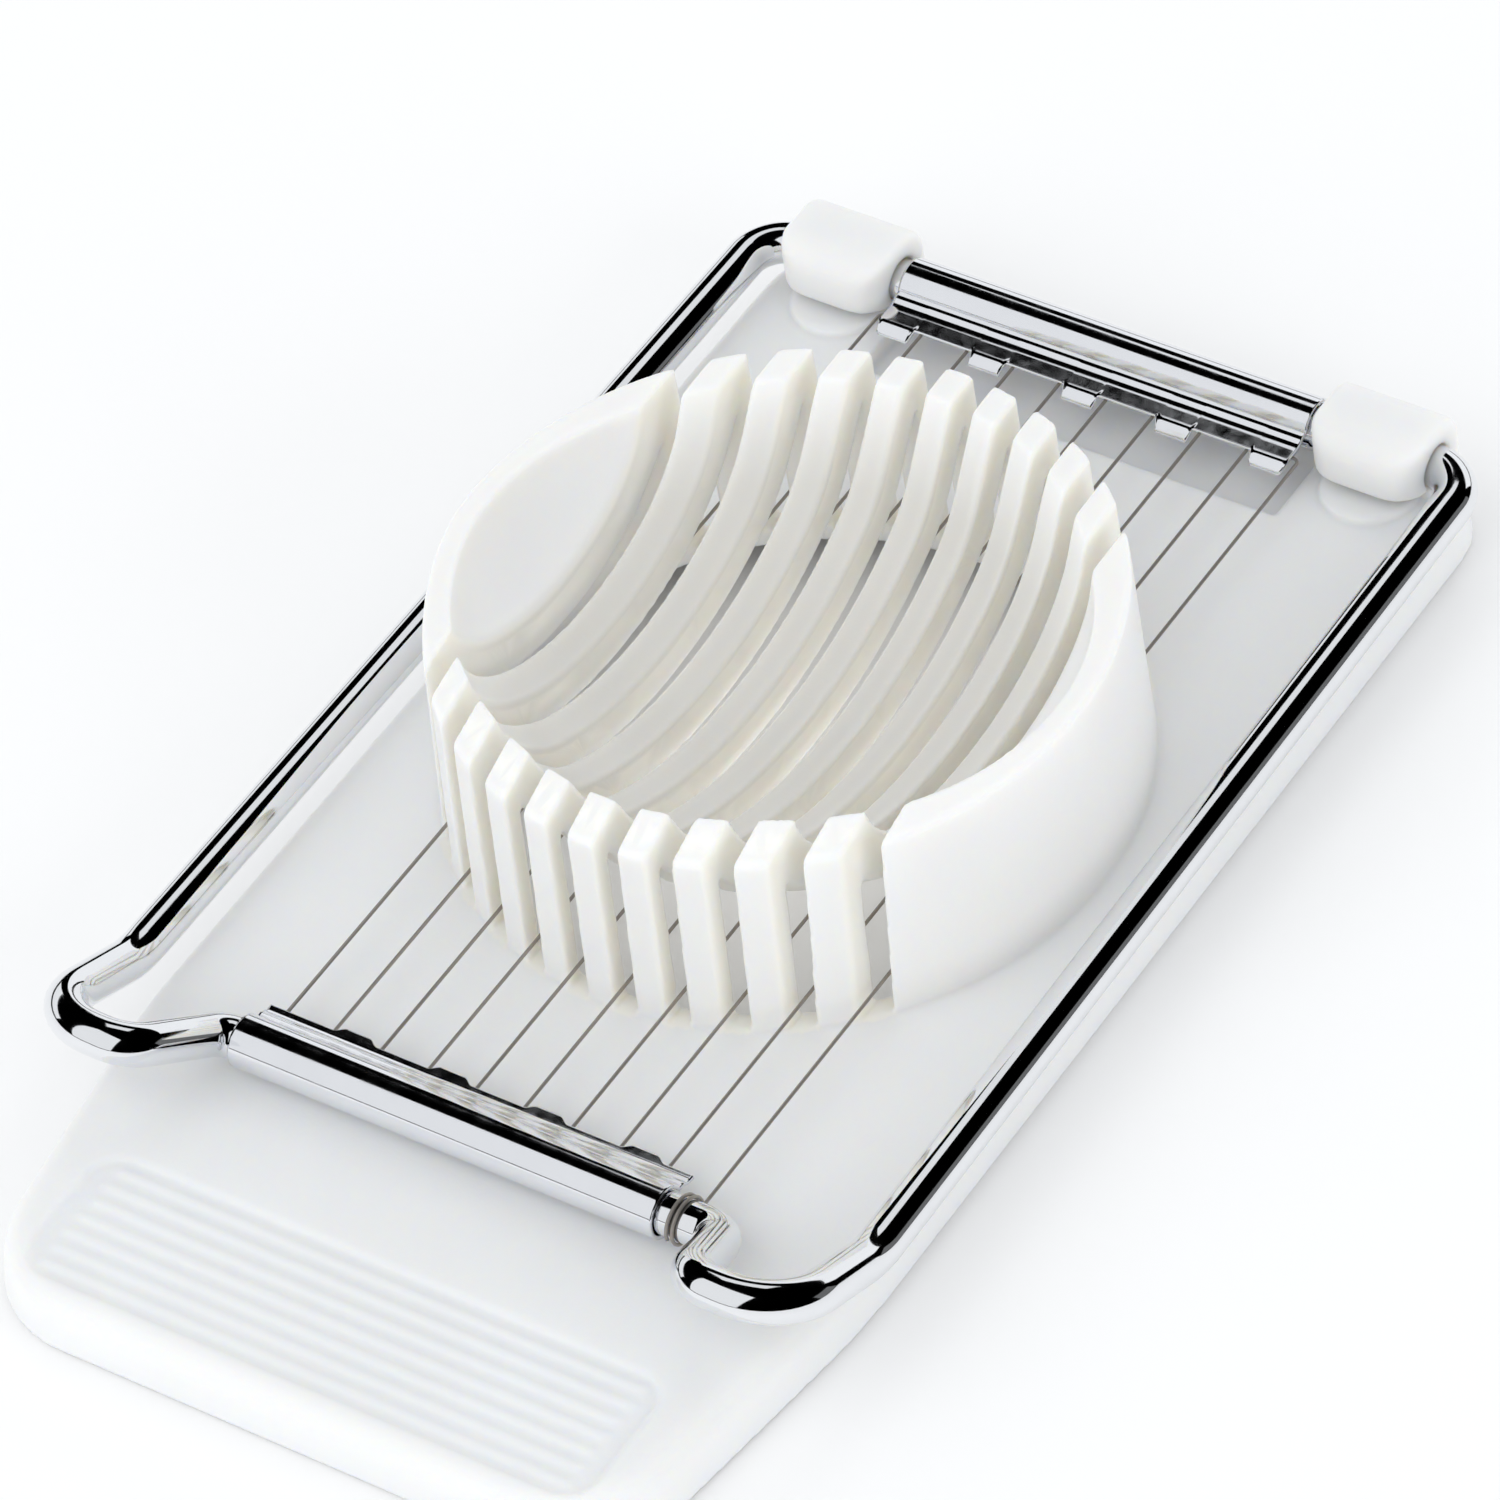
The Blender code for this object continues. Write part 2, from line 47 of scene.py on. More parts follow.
# Grip pad: a shallow recess with fine ridges at the front of the plate
PAD_Y = -60.75
PAD_HALF_X = 29.5
PAD_HALF_Y = 7.2
PAD_CORNER_R = 3.2
PAD_DEPTH = 0.35
RIDGE_PITCH = 1.9
RIDGE_HEIGHT = 0.22
RIDGES_HALF_X = 27.8
RIDGES_HALF_Y = 6.6

# Trough in the plate under the rear strip
TROUGH_Y = 62.85
TROUGH_HALF_X = 22.3
TROUGH_HALF_Y = 5.15
TROUGH_TOP = 3.5
TROUGH_UNDERSIDE = 1.6

# Egg cradle: the rim's shoulder and peak, and the bowl's kink, are (radius, height)
CRADLE_Y = 12.0
FOOT_R = 32.0
SHOULDER_FRONT = (30.8, 24.8)
SHOULDER_REAR = (31.7, 26.2)
PEAK_FRONT = (26.6, 26.45)
PEAK_REAR = (27.9, 26.0)
BOWL_KINK = (22.0, 17.3)
BOWL_BOTTOM = 11.1
EGG_ROOM = (29.4, 25.6, 15.6)
CRADLE_WALL = 2.1
BOWL_WALL = 3.6
SLOTS = 10
PITCH = 5.0
SLOT_HALF = 1.02
SLOT_FLARE = 0.1

# Knuckles: hooks over the rod, each with a low round lip on the plate under its mouth
KNUCKLE_X = 28.6
KNUCKLE_HALF_X = 5.8
KNUCKLE_FRONT = 5.3
KNUCKLE_REAR = 4.3
KNUCKLE_BORE_R = 2.1
LIP_R = 4.7
LIP_HEIGHT = 0.65

# Wire frame: the rod's left and right rails rise into an ear at each front corner
ROD_R = 2.0
WIRE_Z = 8.3
HINGE_Y = 66.75
FRONT_Y = -39.75
RAIL_X = 38.5
RAIL_REAR_X = 37.9
EAR_Y = -48.75
EAR_Z = 13.8
RAIL_BEND_Y = -36.0
EAR_INNER_X = 29.0
ROD_GRIP_X = 26.0
FRONT_FLANGE = 4.1
REAR_FLANGE = 4.2
HUMP_HALF = 1.2
HUMP_SOFT = 1.1
HUMP_REACH = 0.6
TAB_HALF = 1.65
TAB_SOFT = 0.2
TAB_REACH = 1.0
FRONT_STRIP_X = -1.9
FRONT_STRIP_HALF = 22.1
REAR_STRIP_HALF = 21.9
STRIP_R = 2.31
SHEET = 0.34
SHEET_MOUTH = radians(16)
WIRE_R = 0.17
STRAND_DROP = 0.2
TURN_R = 0.6
WRAP_ANGLE = 560
WRAP_STEPS = 72

STEP = 0.32
BASE_TRIANGLES = 180000

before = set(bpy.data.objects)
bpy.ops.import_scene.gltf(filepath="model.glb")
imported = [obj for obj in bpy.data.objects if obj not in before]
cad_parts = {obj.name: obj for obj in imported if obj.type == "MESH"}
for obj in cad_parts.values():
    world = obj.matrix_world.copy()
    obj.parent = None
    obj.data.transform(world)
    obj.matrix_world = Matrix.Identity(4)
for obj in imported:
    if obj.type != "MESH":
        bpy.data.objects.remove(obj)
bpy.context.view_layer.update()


# ---------------------------------------------------------------- distance fields

def smooth_max(a, b, k):
    h = np.maximum(k - np.abs(a - b), 0) / k
    return np.maximum(a, b) + h * h * k * 0.25


def smooth_min(a, b, k):
    return -smooth_max(-a, -b, k)


def polygon_distance(u, v, points):
    """Distance from (u, v) to a closed outline, negative inside it."""
    best = np.full(np.broadcast(u, v).shape, 1e9, np.float32)
    inside = np.zeros(best.shape, bool)
    for (au, av), (bu, bv) in zip(points, points[1:] + points[:1]):
        eu, ev = bu - au, bv - av
        t = np.clip(((u - au) * eu + (v - av) * ev) / (eu * eu + ev * ev), 0, 1)
        best = np.minimum(best, (u - au - t * eu) ** 2 + (v - av - t * ev) ** 2)
        if av != bv:
            crosses = (av > v) != (bv > v)
            inside ^= crosses & (u < eu * (v - av) / ev + au)
    return np.where(inside, -1, 1) * np.sqrt(best)


def rounded_path(corners, steps=6):
    """Points along a path of (point, corner radius) pairs, with each corner turned by an arc."""
    points = [Vector(corners[0][0])]
    for before, (here, radius), after in zip(corners, corners[1:], corners[2:]):
        here = Vector(here)
        back = (Vector(before[0]) - here).normalized()
        ahead = (Vector(after[0]) - here).normalized()
        half = back.angle(ahead) / 2
        centre = here + (back + ahead).normalized() * (radius / sin(half))
        start = here + back * (radius / tan(half)) - centre
        end = here + ahead * (radius / tan(half)) - centre
        turn = start.angle(end)
        for i in range(steps + 1):
            share = i / steps
            points.append(centre + (start * sin((1 - share) * turn) + end * sin(share * turn)) / sin(turn))
    points.append(Vector(corners[-1][0]))
    return points


def base_outline():
    end_y = BASE_LENGTH / 2
    corners = [
        ((0, -end_y, 0), 0),
        ((FRONT_HALF_WIDTH, -end_y, 0), FRONT_CORNER_R),
        ((BASE_HALF_WIDTH, TAPER_Y, 0), 60),
        ((BASE_HALF_WIDTH, end_y, 0), REAR_CORNER_R),
        ((0, end_y, 0), 0),
    ]
    right = rounded_path(corners, 10)
    return [(p.x, p.y) for p in right] + [(-p.x, p.y) for p in reversed(right[1:-1])]


def slot_x(number):
    return (number - (SLOTS - 1) / 2) * PITCH


def rim_profile(y, r):
    """The rim's shoulder and peak, as radius and height each. It slopes more at the front."""
    t = np.clip((y - CRADLE_Y) / np.maximum(r, 1) / 0.65 + 1, 0, 1)
    t = t * t * (3 - 2 * t)
    front, rear = SHOULDER_FRONT + PEAK_FRONT, SHOULDER_REAR + PEAK_REAR
    return [a + (b - a) * t for a, b in zip(front, rear)]


def bowl_field(x, y, z, r, peak_r, peak_z):
    """Negative inside the bowl: a shallow ball, a steep wall above its kink, and room for an egg along X."""
    kink_r, kink_z = BOWL_KINK
    sag = kink_z - BOWL_BOTTOM
    ball_r = (kink_r ** 2 + sag ** 2) / (2 * sag)
    ball = np.sqrt(r * r + (z - BOWL_BOTTOM - ball_r) ** 2) - ball_r
    slope = (peak_r - kink_r) / (peak_z - kink_z)
    wall = (r - kink_r - (z - kink_z) * slope) / np.sqrt(1 + slope * slope)
    half_x, half_y, half_z = EGG_ROOM
    top = BOWL_BOTTOM + half_z
    along, up = y - CRADLE_Y, z - top
    near = np.sqrt((x / half_x) ** 2 + (along / half_y) ** 2 + (up / half_z) ** 2)
    far = np.sqrt((x / half_x ** 2) ** 2 + (along / half_y ** 2) ** 2 + (up / half_z ** 2) ** 2)
    egg = near * (near - 1) / np.maximum(far, 1e-4)
    return smooth_min(smooth_max(ball, wall, 1.2), egg, 0.8)


def grip_pad(x, y, z):
    """Negative inside the grip's recess; fine ridges stand in it."""
    dx = np.abs(x) - PAD_HALF_X + PAD_CORNER_R
    dy = np.abs(y - PAD_Y) - PAD_HALF_Y + PAD_CORNER_R
    beyond = np.hypot(np.maximum(dx, 0), np.maximum(dy, 0))
    plan = beyond + np.minimum(np.maximum(dx, dy), 0) - PAD_CORNER_R
    wave = 0.5 + 0.7 * np.cos((y - PAD_Y) * 2 * pi / RIDGE_PITCH)
    ridge = np.clip(wave, 0, 1) * (np.abs(y - PAD_Y) < RIDGES_HALF_Y)
    ridge = ridge * np.clip((RIDGES_HALF_X - np.abs(x)) / 0.8, 0, 1)
    floor = PLATE_TOP - PAD_DEPTH + RIDGE_HEIGHT * ridge
    return smooth_max(plan, floor - z, 0.6)


def knuckle_field(x, y, z):
    """A hook over the rod on the +X side, with the lip on the plate under its mouth."""
    left, right = KNUCKLE_X - KNUCKLE_HALF_X, KNUCKLE_X + KNUCKLE_HALF_X
    front, rear = HINGE_Y - KNUCKLE_FRONT, HINGE_Y + KNUCKLE_REAR
    plan_corners = [
        ((KNUCKLE_X, front, 0), 0),
        ((right, front, 0), 3.8),
        ((right, rear, 0), 1.0),
        ((left, rear, 0), 1.0),
        ((left, front, 0), 3.8),
        ((KNUCKLE_X - 0.1, front, 0), 0),
    ]
    plan = polygon_distance(x, y, [(p.x, p.y) for p in rounded_path(plan_corners, 8)])
    side_corners = [
        ((2, -4, 0), 0),
        ((4.4, -4, 0), 0.1),
        ((4.4, 3.9, 0), 3.2),
        ((-KNUCKLE_FRONT, 3.9, 0), 3.4),
        ((-KNUCKLE_FRONT, -1.3, 0), 1.0),
        ((-1.6, -1.9, 0), 0.2),
        ((-1.5, -4, 0), 0.1),
        ((1.9, -4, 0), 0),
    ]
    outline = [(HINGE_Y + p.x, WIRE_Z + p.y) for p in rounded_path(side_corners, 8)]
    side = polygon_distance(y, z, outline)
    hook = smooth_max(plan, side, 0.8)
    bore = np.hypot(y - HINGE_Y, z - WIRE_Z) - KNUCKLE_BORE_R
    hook = smooth_max(hook, -bore, 0.5)
    lip = np.hypot(x - KNUCKLE_X, y - HINGE_Y + 2.6) - LIP_R
    lip = smooth_max(lip, z - PLATE_TOP - LIP_HEIGHT, 0.5)
    lip = np.maximum(lip, PLATE_TOP - 1 - z)
    return hook, lip


def plate_field(x, y, z):
    """Negative in the plate and its skirt, less the grip pad and the trough."""
    side = polygon_distance(x, y, base_outline()) + DRAFT * z / PLATE_TOP
    slab = smooth_max(side, z - PLATE_TOP, 2.4)
    slab = smooth_max(slab, -z, 0.5)
    inner = smooth_max(side + WALL, z - PLATE_TOP + PLATE, 1.0)
    beside = np.abs(x) - TROUGH_HALF_X - WALL
    ahead = TROUGH_Y - TROUGH_HALF_Y - WALL - y
    trough_floor = np.maximum(np.maximum(beside, ahead), TROUGH_UNDERSIDE - z)
    plate = smooth_max(slab, -np.maximum(inner, -trough_floor), 0.4)
    plate = smooth_max(plate, -grip_pad(x, y, z), 0.35)
    trough = np.maximum(np.abs(x) - TROUGH_HALF_X, np.abs(y - TROUGH_Y) - TROUGH_HALF_Y)
    trough = smooth_max(trough, TROUGH_TOP - z, 0.5)
    return smooth_max(plate, -trough, 0.5)


def nearest_slot(x):
    """How far the middle of the nearest slot on the same side is from the slicer's middle plane."""
    return np.clip(np.round((np.abs(x) - PITCH / 2) / PITCH), 0, SLOTS // 2 - 1) * PITCH + PITCH / 2


def base_field(x, y, z):
    """Distance to the base moulding's surface without its knuckles, negative in the plastic."""
    plate = plate_field(x, y, z)
    r = np.hypot(x, y - CRADLE_Y)
    shoulder_r, shoulder_z, peak_r, peak_z = rim_profile(y, r)
    wall = r - FOOT_R + (FOOT_R - shoulder_r) * (z - PLATE_TOP) / (shoulder_z - PLATE_TOP)
    run, rise = shoulder_r - peak_r, peak_z - shoulder_z
    rim = ((r - shoulder_r) * rise + (z - shoulder_z) * run) / np.sqrt(run * run + rise * rise)
    outer = smooth_max(wall, rim, 0.5)
    slot_half = SLOT_HALF + SLOT_FLARE * np.clip((z - PLATE_TOP) / 20, 0, 1)
    slot = np.maximum(np.abs(np.abs(x) - nearest_slot(x)) - slot_half, PLATE_TOP - z)
    cradle = np.maximum(smooth_max(outer, -slot, 0.3), PLATE_TOP - PLATE - z)
    body = smooth_min(plate, cradle, 0.5)
    bowl = bowl_field(x, y, z, r, peak_r, peak_z)
    body = smooth_max(body, -bowl, 0.35)
    hollow = smooth_max(smooth_max(wall + CRADLE_WALL, BOWL_WALL - bowl, 0.8), rim + CRADLE_WALL, 0.8)
    return smooth_max(body, -hollow, 0.4)


def base_mesh(step):
    """The base moulding's surface. Its field is worked out for the +X half and mirrored."""
    half_length = BASE_LENGTH / 2 + 0.05
    x = np.arange(0, BASE_HALF_WIDTH + 0.75 + step, step, dtype=np.float32)
    y = np.arange(-half_length - 2 * step, half_length + 2.5 * step, step, dtype=np.float32)
    z = np.arange(-2 * step, PEAK_FRONT[1] + 0.05 + 2.5 * step, step, dtype=np.float32)
    field = base_field(x[:, None, None], y[None, :, None], z[None, None, :]).astype(np.float32)
    rear = y > HINGE_Y - 10
    hook, lip = knuckle_field(x[:, None, None], y[rear][None, :, None], z[None, None, :])
    part = smooth_min(field[:, rear, :], lip, 0.4)
    field[:, rear, :] = smooth_min(part, hook, 0.5)
    field = np.concatenate([field[:0:-1], field])
    origin = (-x[-1], y[0], z[0])
    return surface_mesh("base_shell", field, origin, step)


CORNERS = [(i >> 2 & 1, i >> 1 & 1, i & 1) for i in range(8)]
CELL_EDGES = [(a, b) for a in range(8) for b in range(a + 1, 8)
              if sum(abs(p - q) for p, q in zip(CORNERS[a], CORNERS[b])) == 1]


def surface_mesh(name, field, origin, step):
    """A quad mesh of the field's zero surface: one point in each cell it crosses."""
    inside = field < 0
    count = np.zeros([n - 1 for n in field.shape], np.uint8)
    for i, j, k in CORNERS:
        count += inside[i:i + count.shape[0], j:j + count.shape[1], k:k + count.shape[2]]
    active = (count > 0) & (count < 8)
    cells = np.argwhere(active)
    index = np.full(active.shape, -1, np.int32)
    index[active] = np.arange(len(cells))
    values = np.stack([field[cells[:, 0] + i, cells[:, 1] + j, cells[:, 2] + k] for i, j, k in CORNERS], 1)
    total = np.zeros((len(cells), 3), np.float32)
    hits = np.zeros(len(cells), np.float32)
    for a, b in CELL_EDGES:
        va, vb = values[:, a], values[:, b]
        crossing = (va < 0) != (vb < 0)
        share = np.where(crossing, va / np.where(crossing, va - vb, 1), 0)
        start = np.array(CORNERS[a], np.float32)
        way = np.array(CORNERS[b], np.float32) - start
        total += (start + share[:, None] * way) * crossing[:, None]
        hits += crossing
    points = ((cells + total / hits[:, None]) * step + np.array(origin)) * MM
    quads = []
    for axis in range(3):
        first, second = [(1, 2), (2, 0), (0, 1)][axis]
        low = np.take(inside, range(field.shape[axis] - 1), axis)
        high = np.take(inside, range(1, field.shape[axis]), axis)
        at = np.argwhere(low != high)
        keep = (at[:, first] > 0) & (at[:, second] > 0)
        keep &= (at[:, first] < field.shape[first] - 1) & (at[:, second] < field.shape[second] - 1)
        at = at[keep]
        ring = []
        for df, ds in ((1, 1), (0, 1), (0, 0), (1, 0)):
            cell = at.copy()
            cell[:, first] -= df
            cell[:, second] -= ds
            ring.append(index[cell[:, 0], cell[:, 1], cell[:, 2]])
        ring = np.stack(ring, 1)
        flip = ~low[at[:, 0], at[:, 1], at[:, 2]]
        ring[flip] = ring[flip][:, ::-1]
        quads.append(ring)
    return mesh_of_quads(name, points, np.concatenate(quads))


def mesh_of_quads(name, points, quads):
    """A mesh made straight from arrays of points and four-point faces."""
    mesh = bpy.data.meshes.new(name)
    mesh.vertices.add(len(points))
    mesh.vertices.foreach_set("co", np.asarray(points, np.float32).ravel())
    mesh.loops.add(quads.size)
    mesh.loops.foreach_set("vertex_index", quads.astype(np.int32).ravel())
    mesh.polygons.add(len(quads))
    mesh.polygons.foreach_set("loop_start", np.arange(0, quads.size, 4, dtype=np.int32))
    mesh.update(calc_edges=True)
    mesh.validate()
    return mesh


# ---------------------------------------------------------------- swept pieces

def link(name, mesh, *materials):
    """An object of the mesh in the scene, smooth and in the materials."""
    made = bpy.data.objects.new(name, mesh)
    bpy.context.scene.collection.objects.link(made)
    for one in materials:
        mesh.materials.append(one)
    mesh.shade_smooth()
    return made


def sweep(name, points, radius, segments, material):
    """A round bar along the points, closed at both ends. radius is one number or one per point."""
    points = [Vector(p) for p in points]
    radii = radius if isinstance(radius, list) else [radius] * len(points)
    bm = bmesh.new()
    rings = []
    tangent = (points[1] - points[0]).normalized()
    side = tangent.orthogonal().normalized()
    for i, point in enumerate(points):
        before = points[max(i - 1, 0)]
        after = points[min(i + 1, len(points) - 1)]
        following = (after - before).normalized()
        side = tangent.rotation_difference(following) @ side
        side = (side - following * side.dot(following)).normalized()
        tangent = following
        up = tangent.cross(side)
        ring = []
        for j in range(segments):
            angle = 2 * pi * j / segments
            ring.append(bm.verts.new((point + (side * cos(angle) + up * sin(angle)) * radii[i]) * MM))
        rings.append(ring)
    for lower, upper in zip(rings, rings[1:]):
        for j in range(segments):
            following = (j + 1) % segments
            bm.faces.new((lower[j], lower[following], upper[following], upper[j]))
    bm.faces.new(list(reversed(rings[0])))
    bm.faces.new(rings[-1])
    bmesh.ops.recalc_face_normals(bm, faces=bm.faces)
    mesh = bpy.data.meshes.new(name)
    bm.to_mesh(mesh)
    bm.free()
    return link(name, mesh, material)


def rounded_bar(points, radius, end_round=0.4):
    """The points and radii for a bar whose ends are rounded off."""
    first, last = Vector(points[0]), Vector(points[-1])
    start_way = (Vector(points[1]) - first).normalized()
    end_way = (last - Vector(points[-2])).normalized()
    angles = [radians(a) for a in (80, 55, 30)]
    head = [first - start_way * end_round * (sin(a) - 1) for a in angles]
    tail = [last + end_way * end_round * (sin(a) - 1) for a in reversed(angles)]
    ends = [radius - end_round * (1 - cos(a)) for a in angles]
    return head + list(points[1:-1]) + tail, ends + [radius] * (len(points) - 2) + ends[::-1]


def bow_points():
    """The rod's path, from its right end in the front strip, round the frame, to its left end there."""
    half = [
        ((0.2, FRONT_Y, WIRE_Z), 0),
        ((ROD_GRIP_X, FRONT_Y, WIRE_Z), 2.6),
        ((EAR_INNER_X, EAR_Y, EAR_Z), 3.2),
        ((RAIL_X, EAR_Y, EAR_Z), 6.0),
        ((RAIL_X, RAIL_BEND_Y, WIRE_Z), 9.0),
        ((RAIL_REAR_X, HINGE_Y, WIRE_Z), 4.1),
        ((0, HINGE_Y, WIRE_Z), 0),
    ]
    right = rounded_path(half, 14)
    return right + [Vector((-p.x, p.y, p.z)) for p in reversed(right[:-1])]


def bump(x, centre, half, soft):
    """A smooth flat-topped bump, 1 within half of the centre and 0 past half + soft."""
    t = max(0.0, min(1.0, (half + soft - abs(x - centre)) / soft))
    return t * t * (3 - 2 * t)


def strip_mesh(name, centre_x, centre_y, way, half_length, reach, rise):
    """A sheet rolled round the rod. reach(x) is how far its flange runs, rise(x, y) how far it stands up."""
    turn = 2 * pi - 2 * SHEET_MOUTH
    steps = int(half_length * 2 / 0.2)
    bm = bmesh.new()
    rings = []
    for step in range(steps + 1):
        x = centre_x + half_length * (2 * step / steps - 1)
        middle = []
        end = reach(x)
        for i in range(17):
            y = end + (STRIP_R + 0.5 - end) * i / 16
            middle.append((y, 0.17 + 0.35 * max(4.0 - y, 0) ** 2 + rise(x, y)))
        for i in range(49):
            angle = SHEET_MOUTH + turn * i / 48
            middle.append((STRIP_R * cos(angle), STRIP_R * sin(angle)))
        outer, inner = [], []
        for i, (y, z) in enumerate(middle):
            y0, z0 = middle[max(i - 1, 0)]
            y1, z1 = middle[min(i + 1, len(middle) - 1)]
            length = max(sqrt((y1 - y0) ** 2 + (z1 - z0) ** 2), 1e-6)
            ny, nz = -(z1 - z0) / length, (y1 - y0) / length
            outer.append((y - ny * SHEET / 2, z - nz * SHEET / 2))
            inner.append((y + ny * SHEET / 2, z + nz * SHEET / 2))
        loop = outer + inner[::-1]
        rings.append([bm.verts.new(Vector((x, centre_y + way * y, WIRE_Z + z)) * MM) for y, z in loop])
    for lower, upper in zip(rings, rings[1:]):
        for j in range(len(lower)):
            following = (j + 1) % len(lower)
            bm.faces.new((lower[j], lower[following], upper[following], upper[j]))
    for ring in (rings[0], rings[-1]):
        n = len(ring)
        for j in range(n // 2 - 1):
            bm.faces.new((ring[j], ring[j + 1], ring[n - 2 - j], ring[n - 1 - j]))
    bmesh.ops.recalc_face_normals(bm, faces=bm.faces)
    mesh = bpy.data.meshes.new(name)
    bm.to_mesh(mesh)
    bm.free()
    return mesh


# ---------------------------------------------------------------- materials

class Nodes:
    """Short calls for building a material's node tree."""

    def __init__(self, name):
        self.material = bpy.data.materials.new(name)
        self.material.use_nodes = True
        self.tree = self.material.node_tree
        self.shader = self.tree.nodes["Principled BSDF"]

    def node(self, kind, **settings):
        made = self.tree.nodes.new(kind)
        for key, value in settings.items():
            if hasattr(made, key):
                setattr(made, key, value)
            else:
                made.inputs[key.replace("_", " ")].default_value = value
        return made

    def link(self, output, target):
        self.tree.links.new(output, target)

    def noise(self, scale, detail=3.0, roughness=0.5):
        texture = self.node("ShaderNodeTexNoise")
        texture.inputs["Scale"].default_value = scale
        texture.inputs["Detail"].default_value = detail
        texture.inputs["Roughness"].default_value = roughness
        place = self.node("ShaderNodeTexCoord")
        self.link(place.outputs["Object"], texture.inputs["Vector"])
        return texture.outputs["Fac"]

    def ramp(self, value, low, high, start=0.0, end=1.0):
        made = self.node("ShaderNodeMapRange")
        made.inputs["From Min"].default_value = start
        made.inputs["From Max"].default_value = end
        made.inputs["To Min"].default_value = low
        made.inputs["To Max"].default_value = high
        self.link(value, made.inputs["Value"])
        return made.outputs["Result"]

    def mix(self, factor, first, second):
        made = self.node("ShaderNodeMix", data_type="RGBA")
        self.link(factor, made.inputs["Factor"])
        for socket, value in ((made.inputs[6], first), (made.inputs[7], second)):
            if isinstance(value, tuple):
                socket.default_value = (*value, 1)
            else:
                self.link(value, socket)
        return made.outputs[2]

    def bump(self, height, strength, distance):
        made = self.node("ShaderNodeBump")
        made.inputs["Strength"].default_value = strength
        made.inputs["Distance"].default_value = distance
        self.link(height, made.inputs["Height"])
        self.link(made.outputs["Normal"], self.shader.inputs["Normal"])


def white_plastic():
    """Polystyrene white: a little milky, with painted light and shade in each place that mark_places marks.
    """
    made = Nodes("white_plastic")
    shader = made.shader
    shader.inputs["Subsurface Weight"].default_value = 1.0
    shader.inputs["Subsurface Radius"].default_value = (1.0, 0.85, 0.62)
    shader.inputs["Subsurface Scale"].default_value = 0.0018
    shader.inputs["Specular IOR Level"].default_value = 0.4
    cloud = made.noise(60.0, 2.0)
    colour = made.mix(made.ramp(cloud, 0, 1, 0.35, 0.65), (0.862, 0.863, 0.862), (0.848, 0.848, 0.845))
    # These tints are painted light and shade: warm painted shade on the slot walls, lighter painted light in
    # the hollow under the bowl, darker painted shade on the bowl's low surface.
    for mark, tint in (("slot_painted_warm_shade", (0.90, 0.885, 0.835)), ("inner", (0.95, 0.94, 0.90)),
                       ("bowl_painted_shade", (0.71, 0.70, 0.67))):
        share = made.node("ShaderNodeAttribute", attribute_name=mark)
        colour = made.mix(made.ramp(share.outputs["Fac"], 0, 1), colour, tint)
    made.link(colour, shader.inputs["Base Color"])
    made.link(made.ramp(made.noise(900.0), 0.28, 0.38), shader.inputs["Roughness"])
    made.bump(made.noise(2600.0, 2.0), 0.1, 0.0001)
    return made.material


def chrome(name, colour, low, high):
    """Bright metal, its colour a little clouded and its roughness between low and high."""
    made = Nodes(name)
    shader = made.shader
    shader.inputs["Metallic"].default_value = 1.0
    cloud = made.noise(180.0, 3.0)
    tint = tuple(c * 0.94 for c in colour)
    made.link(made.mix(cloud, colour, tint), shader.inputs["Base Color"])
    made.link(made.ramp(made.noise(700.0), low, high, 0.3, 0.7), shader.inputs["Roughness"])
    made.bump(made.noise(420.0, 2.0), 0.05, 0.00005)
    return made.material


def floor_material():
    """Matt white paper."""
    made = Nodes("floor")
    made.shader.inputs["Specular IOR Level"].default_value = 0.2
    cloud = made.noise(3.0, 2.0)
    made.link(made.mix(cloud, (0.97, 0.968, 0.966), (0.96, 0.956, 0.954)), made.shader.inputs["Base Color"])
    made.link(made.ramp(made.noise(40.0), 0.55, 0.65), made.shader.inputs["Roughness"])
    return made.material


# ---------------------------------------------------------------- pieces

def thinned(mesh, share):
    """The same surface in fewer faces, the flat areas thinned first."""
    made = link("thinning", mesh)
    modifier = made.modifiers.new("thin", "DECIMATE")
    modifier.ratio = share
    bpy.context.view_layer.update()
    evaluated = made.evaluated_get(bpy.context.evaluated_depsgraph_get())
    result = bpy.data.meshes.new_from_object(evaluated)
    bpy.data.objects.remove(made)
    result.name = mesh.name
    return result


def fade(depth, width):
    """0 where depth is below 0, rising to 1 at width."""
    return np.clip(depth / width, 0, 1)


def mark_places(mesh):
    """Mark where light and shade are painted: warm shade on the walls of the cradle's slots, light in the
    hollow under its bowl and shade on the bowl's own low surface.
    """
    points = np.zeros(len(mesh.vertices) * 3, np.float32)
    mesh.vertices.foreach_get("co", points)
    x, y, z = (points.reshape(-1, 3) / MM).T
    r = np.hypot(x, y - CRADLE_Y)
    # Slot walls: a warm tint, painted shade coloured by light bounced between the walls.
    slot = fade(1.5 - np.abs(np.abs(x) - nearest_slot(x)), 0.3)
    slot = slot * fade(z - PLATE_TOP + 0.5, 0.6) * (r < FOOT_R + 0.4)
    shoulder_r, shoulder_z, peak_r, peak_z = rim_profile(y, r)
    bowl = bowl_field(x, y, z, r, peak_r, peak_z)
    # Hollow under the bowl: a lighter tint, painted light standing in for light that passes through the
    # plastic.
    inner = fade(bowl - 1.2, 1.0) * fade(29.8 - r, 0.8) * (z > 3)
    # Bowl's low surface: a darker tint, painted shade where the bowl's sides shut out light.
    low = fade(0.9 - np.abs(bowl), 0.5) * fade(25.0 - z, 7.0) * fade(24.4 - np.abs(x), 1.0)
    for name, value in (("slot_painted_warm_shade", slot), ("inner", inner), ("bowl_painted_shade", low)):
        layer = mesh.attributes.new(name, "FLOAT", "POINT")
        layer.data.foreach_set("value", value.astype(np.float32))


